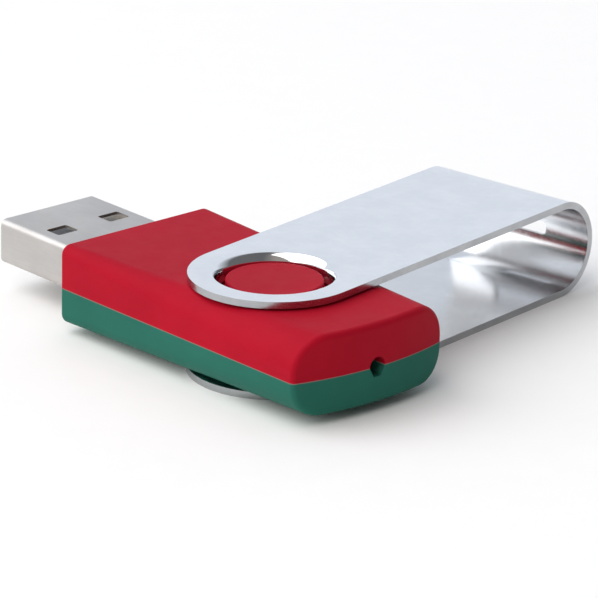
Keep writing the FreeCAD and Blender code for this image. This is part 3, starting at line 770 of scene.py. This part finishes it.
def make_board():
    """The board: green laminate with a slot for each solder tab, tinned pads and small plated holes."""
    piece = Piece("circuit_board", "board_laminate")
    low, high = piece.low, piece.high
    sleeve_low, sleeve_high = box_mm("plug_shell")
    tab_thickness, tab_clearance, tab_end_gap = 0.3, 0.1, 0.05
    tab = sleeve_high.y - tab_thickness / 2
    slot_half = tab_thickness / 2 + tab_clearance
    inner, outer = tab - slot_half, tab + slot_half
    slot_end = sleeve_low.x - tab_end_gap
    half_plan = [(low.x, high.y), (high.x, high.y), (high.x, outer), (slot_end, outer),
                 (slot_end, inner), (high.x, inner)]
    outline = half_plan + [(x, -y) for x, y in reversed(half_plan)]
    piece.prism(outline, high.z - low.z, Matrix.Translation((0, 0, low.z)), "board_laminate",
                edge=0.03)
    for x, y, length, width in pad_places():
        board_pad(piece, x - length / 2, y - width / 2, x + length / 2, y + width / 2)
    land, land_lip = 0.5, 0.05
    for y in (tab, -tab):
        board_pad(piece, slot_end - land, y - land, slot_end + land_lip, y + land)
    board_holes(piece)
    piece.finish()


# --- Swivel cover ----------------------------------------------------------------------------------

COVER_WIDTH_MM = 16.6
COVER_THICKNESS_MM = 0.7
COVER_HEIGHT_MM = 9.8
COVER_REACH_MM = 39.47
COVER_SWING_DEG = -80.7
COVER_RIM_MM = 0.13
HOLE_RADIUS_MM = 5.45
HOLE_LIP_MM = 0.8
HOLE_DISH_MM = 1.5
COLLAR_DEPTH_MM = 1.9
SLOT_HALF_WIDTH_MM = 3.1
SLOT_HALF_HEIGHT_MM = 0.85
SLOT_CORNER_MM = 0.5

# Steps of the cover's grid.
CORNER_TURNS_DEG = (0, 30, 60, 90)
COLUMN_STEP_MM = 0.9
COLUMNS_IN_SLOT = 2
COLUMNS_BESIDE_SLOT = 5
FIRST_COLUMN_BESIDE_SLOT_MM = 3.9
LIP_STEPS = 9
QUARTER_STEPS = 24
FLAT_RING_SHARES = (0.12, 0.45, 0.88, 1.0)
ARM_STEPS = 10
BEND_TURNS_DEG = range(14, 90, 4)
ON_OUTLINE_MM = 1e-6
JOIN_MM = 1e-4
TINY = 1e-9
RIM_ANGLE_DEG = 60.0


def cover_columns():
    """Places across the strip: even steps, and the steps of the slot's rounded corners."""
    corner = SLOT_HALF_WIDTH_MM - SLOT_CORNER_MM
    side = [corner + SLOT_CORNER_MM * math.cos(math.radians(turn)) for turn in CORNER_TURNS_DEG]
    side += [COLUMN_STEP_MM * (step + 1) for step in range(COLUMNS_IN_SLOT)]
    side += [FIRST_COLUMN_BESIDE_SLOT_MM + COLUMN_STEP_MM * step for step in range(COLUMNS_BESIDE_SLOT)]
    side.append(COVER_WIDTH_MM / 2)
    return sorted([-y for y in side] + [0.0] + side)


def arm_turns(columns):
    """Directions of the points in a ring: at the strip's columns, then evenly all the way round."""
    turns = [math.atan2(y, COVER_WIDTH_MM / 2) for y in columns]
    for start, sweep in ((45, 45), (90, 180), (270, 45)):
        steps = QUARTER_STEPS * sweep // 90
        turns += [math.radians(start + sweep * step / steps) for step in range(1, steps + 1)]
    return turns[:-1]  # the last is the first column's direction again


def lip_rings():
    """Radius and depth of the rings from the collar's tip, over the rounded lip, to the flat face."""
    rings = [(HOLE_RADIUS_MM, COLLAR_DEPTH_MM)]
    for step in range(LIP_STEPS + 1):
        turn = math.radians(90 * step / LIP_STEPS)
        radius = HOLE_RADIUS_MM + HOLE_LIP_MM * (1 - math.cos(turn))
        rings.append((radius, HOLE_DISH_MM * (1 - math.sin(turn))))
    return rings


def rim_radius(turn):
    """From the swivel axis to the arm's rim: round at the arm's end, square where the strip goes on."""
    half = COVER_WIDTH_MM / 2
    if math.cos(turn) > TINY:
        return half / max(abs(math.cos(turn)), abs(math.sin(turn)))
    return half


def arm_grid(mesh, upper, turns):
    """One arm's flat end: rings about the hole, from the collar's tip out to the strip."""
    def ring(radii, depth):
        height = COVER_HEIGHT_MM - depth if upper else depth
        return [mesh.verts.new((radius * math.cos(turn), radius * math.sin(turn), height))
                for radius, turn in zip(radii, turns)]

    loops = [ring([radius] * len(turns), depth) for radius, depth in lip_rings()]
    flat_start = HOLE_RADIUS_MM + HOLE_LIP_MM
    for share in FLAT_RING_SHARES:
        radii = [flat_start + (rim_radius(turn) - flat_start) * share for turn in turns]
        loops.append(ring(radii, 0.0))
    for inside, outside in zip(loops, loops[1:]):
        for index in range(len(turns)):
            following = (index + 1) % len(turns)
            mesh.faces.new((inside[index], outside[index], outside[following], inside[following]))


def strip_path():
    """The strip's outer face seen from its side: along the upper arm, round the bend and back."""
    half, radius = COVER_WIDTH_MM / 2, COVER_HEIGHT_MM / 2
    bend = COVER_REACH_MM - radius
    corner = SLOT_HALF_HEIGHT_MM - SLOT_CORNER_MM
    slot_rows = [corner + SLOT_CORNER_MM * math.sin(math.radians(turn)) for turn in CORNER_TURNS_DEG]
    rises = sorted([radius * math.sin(math.radians(turn)) for turn in BEND_TURNS_DEG] + slot_rows)
    heights = rises[::-1] + [0.0] + [-rise for rise in rises]
    runs = [half + (bend - half) * step / ARM_STEPS for step in range(ARM_STEPS)] + [bend]
    path = [(x, COVER_HEIGHT_MM) for x in runs]
    path += [(bend + math.sqrt(radius ** 2 - z ** 2), radius + z) for z in heights]
    path += [(x, 0.0) for x in reversed(runs)]
    return path


def beyond_slot(place):
    """How far a place on the strip is outside the lanyard slot's outline, or below zero within it."""
    middle = COVER_HEIGHT_MM / 2
    if place.x < COVER_REACH_MM - middle:
        return 1.0
    over_y = max(abs(place.y) - (SLOT_HALF_WIDTH_MM - SLOT_CORNER_MM), 0.0)
    over_z = max(abs(place.z - middle) - (SLOT_HALF_HEIGHT_MM - SLOT_CORNER_MM), 0.0)
    return math.hypot(over_y, over_z) - SLOT_CORNER_MM


def strip_grid(mesh, columns):
    """The strip between the two arms' ends, with the lanyard slot left open in the bend."""
    points = [[mesh.verts.new((x, y, z)) for y in columns] for x, z in strip_path()]
    for row, following in zip(points, points[1:]):
        for index in range(len(columns) - 1):
            corners = [row[index], following[index], following[index + 1], row[index + 1]]
            kept = [vert for vert in corners if beyond_slot(vert.co) > -ON_OUTLINE_MM]
            outside = [vert for vert in corners if beyond_slot(vert.co) > ON_OUTLINE_MM]
            if outside and len(kept) >= 3:
                mesh.faces.new(kept)


def cover_skin():
    """The cover's outer face as one thin skin, swung out to the cover's place at rest."""
    mesh = bmesh.new()
    columns = cover_columns()
    turns = arm_turns(columns)
    arm_grid(mesh, True, turns)
    arm_grid(mesh, False, turns)
    strip_grid(mesh, columns)
    bmesh.ops.remove_doubles(mesh, verts=mesh.verts, dist=JOIN_MM)
    loose = [vert for vert in mesh.verts if not vert.link_faces]
    bmesh.ops.delete(mesh, geom=loose, context="VERTS")
    bmesh.ops.recalc_face_normals(mesh, faces=mesh.faces)
    top = max(mesh.faces, key=lambda face: face.calc_center_median().z)
    if top.normal.z < 0:
        bmesh.ops.reverse_faces(mesh, faces=mesh.faces)
    swing = Matrix.Rotation(math.radians(COVER_SWING_DEG), 4, "Z")
    mesh.transform(Matrix.Scale(MM, 4) @ swing)
    skin = bpy.data.meshes.new("swivel_cover_detail")
    mesh.to_mesh(skin)
    mesh.free()
    skin.shade_smooth()
    return skin


def make_cover():
    """The bent steel strip: its skin thickened inwards, with every rim rounded."""
    skin = cover_skin()
    materials = ("polished_steel", "polished_steel_inside", "sheared_steel")
    for material in materials:
        skin.materials.append(MATERIALS[material])
    cover = bpy.data.objects.new("swivel_cover_detail", skin)
    bpy.context.scene.collection.objects.link(cover)
    sheet = cover.modifiers.new("sheet", "SOLIDIFY")
    sheet.thickness = COVER_THICKNESS_MM * MM
    sheet.offset = -1.0
    sheet.material_offset = materials.index("polished_steel_inside")
    sheet.material_offset_rim = materials.index("sheared_steel")
    rims = cover.modifiers.new("rims", "BEVEL")
    rims.width = COVER_RIM_MM * MM
    rims.segments = 3
    rims.limit_method = "ANGLE"
    rims.angle_limit = math.radians(RIM_ANGLE_DEG)
    rims.harden_normals = True
    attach(cover, "cover")
    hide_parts("swivel_cover")


def make_pieces():
    """Every piece that stands for a CAD node."""
    make_cover()
    for node in CONTACTS:
        make_contact(node)
    make_board()
    make_chip("flash_memory_chip", x_leads=22, y_leads=0, width=0.22, reach=0.7)
    make_chip("controller_chip", x_leads=10, y_leads=10, width=0.22, reach=0.6, under=True)
    make_chip("voltage_regulator", x_leads=3, y_leads=0, width=0.38, reach=0.35)
    make_crystal()
    make_lamp()
    make_small_parts()


# --- Floor, light and camera -----------------------------------------------------------------------

FLOOR_HALF_M = 6.0
KEY_LIGHT_PLACE_M = (0.35, 0.9, 1.0)
KEY_LIGHT_SIZE_M = (2.6, 2.0)
KEY_LIGHT_W = 28.0
BRIGHT_SKY = (0.80, 0.85, 0.93)
WARM_SKY = (0.34, 0.31, 0.29)
DIM_SKY = (0.14, 0.14, 0.145)

# Colours round the horizon, by share of a turn: 0.5 is towards +X, 0.75 is towards +Y.
SKY_STOPS = ((0.0, DIM_SKY), (0.16, DIM_SKY), (0.27, BRIGHT_SKY), (0.62, BRIGHT_SKY),
             (0.70, WARM_SKY), (0.88, WARM_SKY), (0.95, DIM_SKY))


def floor_material():
    """Matte pale paper."""
    deep = (0.97, 0.955, 0.935)
    pale = (0.98, 0.965, 0.945)
    nodes = Nodes("floor_paper")
    fibres = nodes.noise(cell_mm=3.0, detail=4.0)
    nodes.colour(nodes.blend(nodes.spread(fibres), deep, pale))
    nodes.roughness(fibres, low=0.75, high=0.90)
    return nodes.material


def make_floor():
    """A wide level sheet at the height of the object's underside."""
    half = FLOOR_HALF_M
    mesh = bpy.data.meshes.new("floor")
    corners = [(-half, -half, 0), (half, -half, 0), (half, half, 0), (-half, half, 0)]
    mesh.from_pydata(corners, [], [(0, 1, 2, 3)])
    mesh.materials.append(floor_material())
    floor = bpy.data.objects.new("floor", mesh)
    bpy.context.scene.collection.objects.link(floor)


def make_key_light():
    """A large soft rectangular light over the near side, facing the object."""
    data = bpy.data.lights.new("key", "AREA")
    data.shape = "RECTANGLE"
    data.size, data.size_y = KEY_LIGHT_SIZE_M
    data.energy = KEY_LIGHT_W
    light = bpy.data.objects.new("key", data)
    light.location = KEY_LIGHT_PLACE_M
    light.rotation_mode = "QUATERNION"
    light.rotation_quaternion = Vector(KEY_LIGHT_PLACE_M).to_track_quat("Z", "Y")
    bpy.context.scene.collection.objects.link(light)


def make_sky():
    """A bright sky that turns warm and dimmer on the near side and dark where the rear face looks."""
    world = bpy.data.worlds.new("studio")
    world.use_nodes = True
    tree = world.node_tree
    turn = tree.nodes.new("ShaderNodeTexCoord")
    dial = tree.nodes.new("ShaderNodeTexGradient")
    dial.gradient_type = "RADIAL"
    ramp = tree.nodes.new("ShaderNodeValToRGB")
    tree.links.new(turn.outputs["Generated"], dial.inputs["Vector"])
    tree.links.new(dial.outputs["Fac"], ramp.inputs["Fac"])
    tree.links.new(ramp.outputs["Color"], tree.nodes["Background"].inputs["Color"])
    stops = ramp.color_ramp.elements
    while len(stops) < len(SKY_STOPS):
        stops.new(1.0)
    for stop, (place, colour) in zip(stops, SKY_STOPS):
        stop.position = place
        stop.color = (*colour, 1.0)
    bpy.context.scene.world = world


def make_camera():
    """The camera, turned about the frame's origin and then moved aside and up in its own view."""
    azimuth = math.radians(CAMERA_AZIMUTH_DEG)
    elevation = math.radians(CAMERA_ELEVATION_DEG)
    back = Vector((math.cos(azimuth) * math.cos(elevation), math.sin(azimuth) * math.cos(elevation),
                   math.sin(elevation)))
    level = back.to_track_quat("Z", "Y").to_matrix()
    turned = level @ Matrix.Rotation(math.radians(CAMERA_ROLL_DEG), 3, "Z")
    side, up = turned.col[0], turned.col[1]
    place = back * CAMERA_DISTANCE_MM + side * CAMERA_SIDE_MM + up * CAMERA_RISE_MM
    data = bpy.data.cameras.new("camera")
    data.sensor_width = SENSOR_MM
    data.lens = CAMERA_LENS_MM
    data.clip_start = CLIP_START_M
    data.clip_end = CLIP_END_M
    camera = bpy.data.objects.new("camera", data)
    camera.matrix_world = Matrix.Translation(place * MM) @ turned.to_4x4()
    bpy.context.scene.collection.objects.link(camera)
    bpy.context.scene.camera = camera


dress_cad_nodes()
make_pieces()
make_floor()
make_sky()
make_key_light()
make_camera()
bpy.context.scene.view_settings.view_transform = "Standard"
